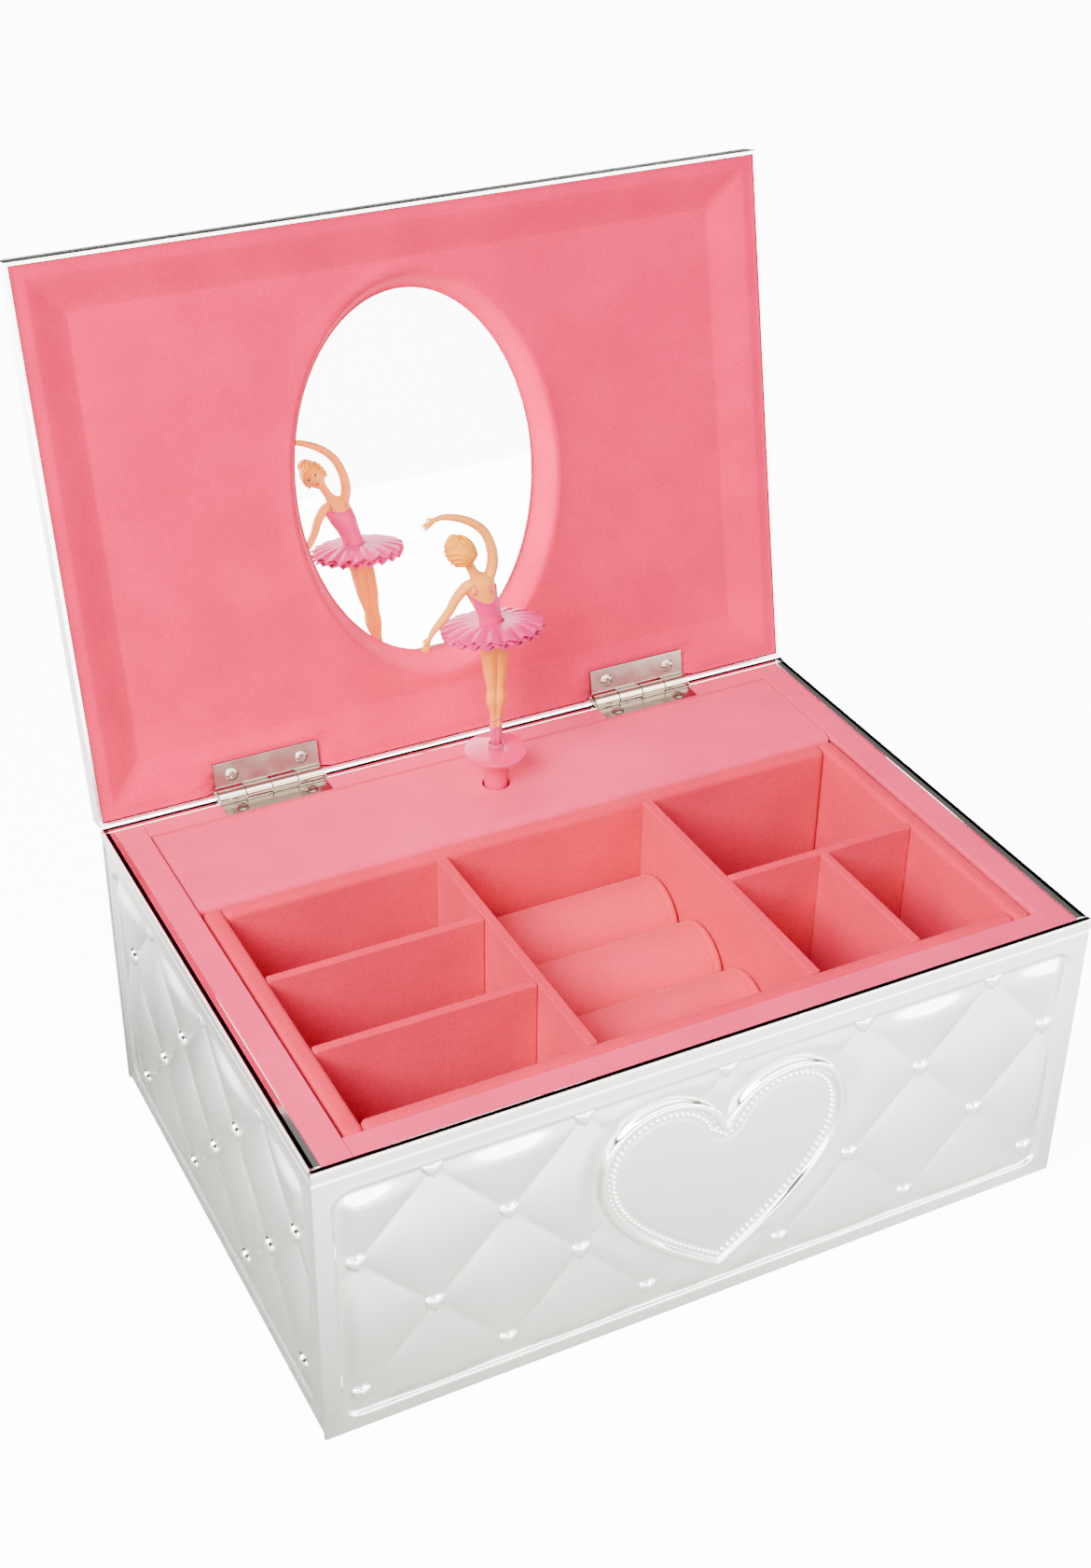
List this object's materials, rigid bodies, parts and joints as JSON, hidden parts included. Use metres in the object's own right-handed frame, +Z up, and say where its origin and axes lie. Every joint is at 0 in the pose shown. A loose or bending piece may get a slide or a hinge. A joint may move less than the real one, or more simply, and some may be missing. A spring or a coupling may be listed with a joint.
{
  "type": "musical jewellery box with spinning dancer",
  "caption": "Silver-plated musical jewellery box, hinged lid open, pink flocked tray with ring rolls, oval mirror and a spring-mounted dancer on a spinning post.",
  "frame": {"origin": "centre of the underside of the box", "axes": "+Z up, +Y towards the back (hinge side), +X to the right seen from the front; the lid stands open"},
  "size_m": [0.21, 0.1905, 0.2278],
  "materials": {
    "silver_plate": "polished plated metal, softly embossed",
    "flocking": "pink flocked velvet over a stiff backing",
    "board": "plain fibreboard",
    "mirror_glass": "mirror",
    "nickel": "satin nickel plate",
    "brass": "satin",
    "spring_steel": "satin",
    "cast_metal": "as cast",
    "pink_plastic": "glossy, slightly translucent",
    "doll_plastic": "painted skin tone and costume",
    "skirt_vinyl": "soft glossy vinyl",
    "hair_plastic": "moulded"
  },
  "bodies": {
    "root": {"front_panel": "silver_plate", "back_panel": "silver_plate", "left_panel": "silver_plate", "right_panel": "silver_plate", "base_board": "board", "inner_wall_left": "flocking", "inner_wall_right": "flocking", "inner_wall_front": "flocking", "inner_wall_back": "flocking", "works_partition": "board", "works_cover": "flocking", "tray_floor": "flocking", "tray_wall_left": "flocking", "tray_wall_right": "flocking", "tray_wall_front": "flocking", "tray_wall_back": "flocking", "tray_divider_left": "flocking", "tray_divider_right": "flocking", "tray_cross_left_1": "flocking", "tray_cross_left_2": "flocking", "tray_cross_right": "flocking", "tray_short_divider": "flocking", "ring_roll_1": "flocking", "ring_roll_2": "flocking", "ring_roll_3": "flocking", "tray_support_left": "board", "tray_support_right": "board", "hinge_left_box_leaf": "nickel", "hinge_left_pin": "nickel", "hinge_left_box_screw_a": "nickel", "hinge_left_box_screw_b": "nickel", "hinge_right_box_leaf": "nickel", "hinge_right_pin": "nickel", "hinge_right_box_screw_a": "nickel", "hinge_right_box_screw_b": "nickel", "movement_frame": "cast_metal", "music_comb": "spring_steel", "post_spring": "spring_steel"},
    "lid": {"hinge_left_lid_leaf": "nickel", "hinge_left_lid_screw_a": "nickel", "hinge_left_lid_screw_b": "nickel", "hinge_right_lid_leaf": "nickel", "hinge_right_lid_screw_a": "nickel", "hinge_right_lid_screw_b": "nickel", "lid_shell": "silver_plate", "lid_liner": "flocking", "lid_mirror": "mirror_glass"},
    "barrel": {"spring_barrel": "brass", "mainspring": "spring_steel"},
    "cylinder": {"music_cylinder": "brass", "drive_spindle": "spring_steel"},
    "fly": {"governor_fly": "spring_steel"},
    "key": {"winding_key": "brass", "winding_arbor": "spring_steel"},
    "post": {"stop_collar": "spring_steel"},
    "pedestal": {"pedestal": "pink_plastic"},
    "figure_mount": {"figure_spring": "pink_plastic"},
    "figure": {"dancer_body": "doll_plastic", "dancer_skirt": "skirt_vinyl", "dancer_hair": "hair_plastic"}
  },
  "joints": [
    {"name": "lid_hinge", "type": "hinge", "parent": "root", "child": "lid", "pos_m": [0, 0.0735, 0.08415], "axis": [1, 0, 0], "range_deg": [0, 102.2]},
    {"name": "train", "type": "hinge", "parent": "root", "child": "barrel", "pos_m": [-0.0015, 0.056, 0.016], "axis": [0, 1, 0], "continuous": true},
    {"name": "cylinder_spin", "type": "hinge", "parent": "root", "child": "cylinder", "pos_m": [-0.0015, 0.0485, 0.04], "axis": [0, 0, 1], "continuous": true},
    {"name": "fly_spin", "type": "hinge", "parent": "root", "child": "fly", "pos_m": [0.014, 0.05, 0.036], "axis": [0, 0, 1], "continuous": true},
    {"name": "key_turn", "type": "hinge", "parent": "root", "child": "key", "pos_m": [-0.0015, 0.079, 0.016], "axis": [0, 1, 0], "continuous": true},
    {"name": "post_slide", "type": "slide", "parent": "root", "child": "post", "axis": [0, 0, 1], "range_m": [-0.0067, 0], "deforming": ["post_spring"]},
    {"name": "pedestal_spin", "type": "hinge", "parent": "post", "child": "pedestal", "pos_m": [-0.0015, 0.0485, 0.09], "axis": [0, 0, 1], "continuous": true},
    {"name": "figure_tilt", "type": "hinge", "parent": "post", "child": "figure_mount", "pos_m": [-0.0015, 0.0485, 0.0971], "axis": [1, 0, 0], "range_deg": [0, 92], "deforming": ["figure_spring", "dancer_skirt"]},
    {"name": "figure_spin", "type": "hinge", "parent": "figure_mount", "child": "figure", "pos_m": [-0.0015, 0.0485, 0.0971], "axis": [0, 0, 1], "continuous": true}
  ],
  "couplings": [
    {"joint": "cylinder_spin", "follows": "train", "ratio": -4},
    {"joint": "fly_spin", "follows": "train", "ratio": 16},
    {"joint": "pedestal_spin", "follows": "train", "ratio": -4},
    {"joint": "figure_spin", "follows": "train", "ratio": -4},
    {"joint": "post_slide", "follows": "lid_hinge", "m_per_rad": -0.003756},
    {"joint": "figure_tilt", "follows": "lid_hinge", "ratio": 0.9}
  ]
}
